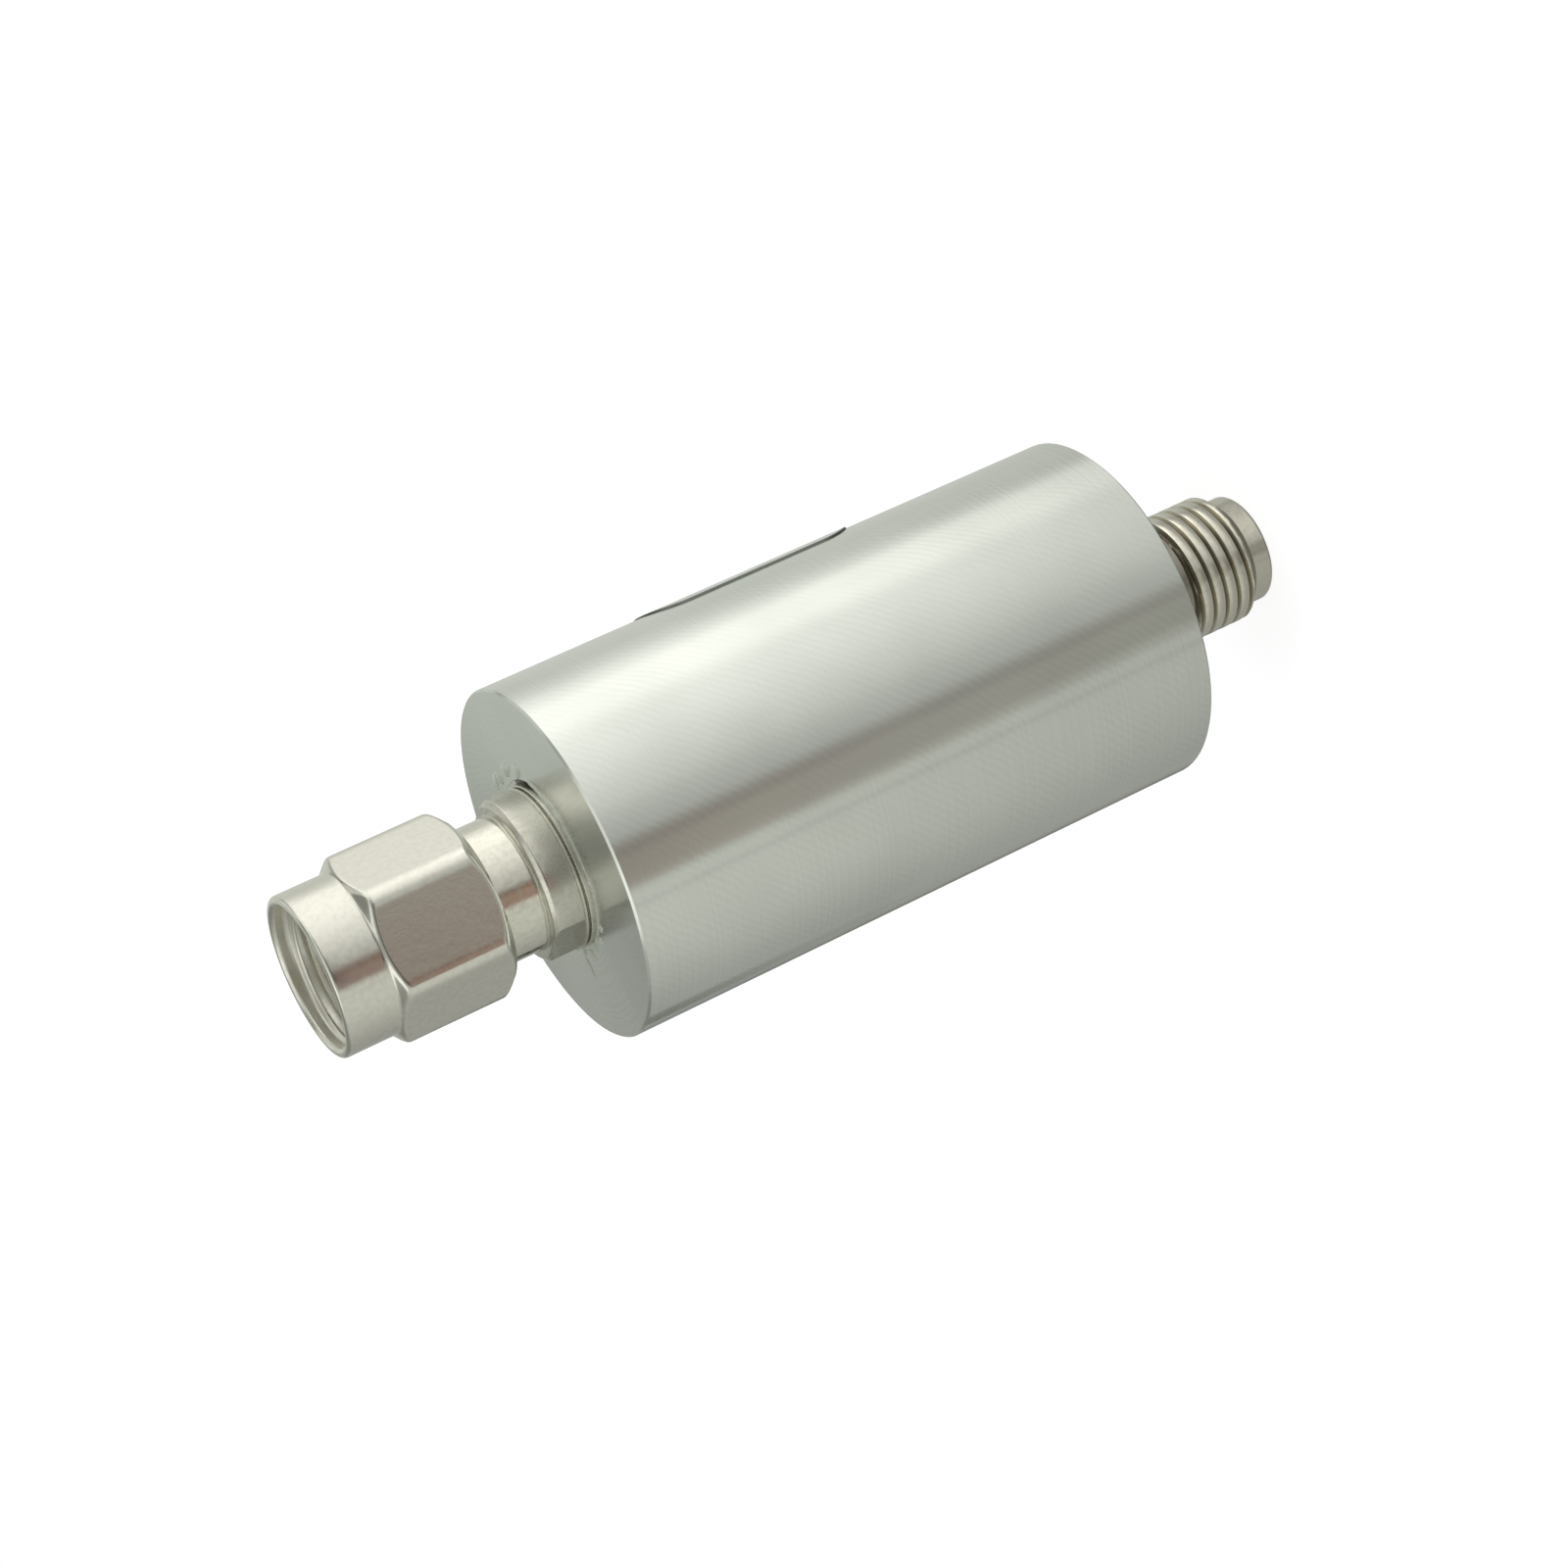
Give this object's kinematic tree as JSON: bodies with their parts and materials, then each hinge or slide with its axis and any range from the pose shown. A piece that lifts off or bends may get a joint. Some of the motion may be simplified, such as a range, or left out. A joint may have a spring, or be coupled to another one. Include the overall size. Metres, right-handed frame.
{
  "type": "rf attenuator",
  "caption": "Inline coaxial attenuator: a turned cylinder with a plug and free-spinning coupling nut at one end and a threaded jack at the other, around a film card.",
  "frame": {"origin": "centre of the jack's flat front face, which the part stands on", "axes": "+Z along the axis, from the jack up to the plug; -Y towards the camera of the picture"},
  "size_m": [0.0171, 0.017, 0.0506],
  "materials": {
    "turned_aluminium": "fine turned",
    "nickel_plate": "satin plated",
    "stainless_steel": "passivated, satin",
    "gold_plate": "bright plated",
    "ptfe": "machined",
    "silicone": "matt",
    "resin": "cast",
    "sealant": "clear, dried",
    "label_film": "satin silver film",
    "plated_brass": "milled",
    "spring_bronze": "rolled",
    "alumina": "fired",
    "silver_print": "printed",
    "resistor_print": "fired print",
    "solder": "flowed"
  },
  "bodies": {
    "housing": {"housing_sleeve": "turned_aluminium", "side_label": "label_film", "jack_body": "nickel_plate", "jack_insulator": "ptfe", "jack_centre_socket": "gold_plate", "jack_contact_lock": "resin", "jack_sealant": "sealant", "plug_body": "stainless_steel", "plug_insulator": "ptfe", "plug_centre_pin": "gold_plate", "plug_contact_lock": "resin", "plug_sealant": "sealant", "nut_snap_ring": "spring_bronze", "nut_gasket": "silicone", "carrier_base": "plated_brass", "carrier_cover": "plated_brass", "carrier_spring_washer": "spring_bronze", "card_substrate": "alumina", "card_conductors": "silver_print", "resistor_film": "resistor_print", "solder_joints": "solder"},
    "nut": {"coupling_nut": "nickel_plate"}
  },
  "joints": [
    {"name": "nut_spin", "type": "hinge", "parent": "housing", "child": "nut", "pos_m": [0, 0, 0.0465], "axis": [0, 0, 1], "continuous": true}
  ]
}
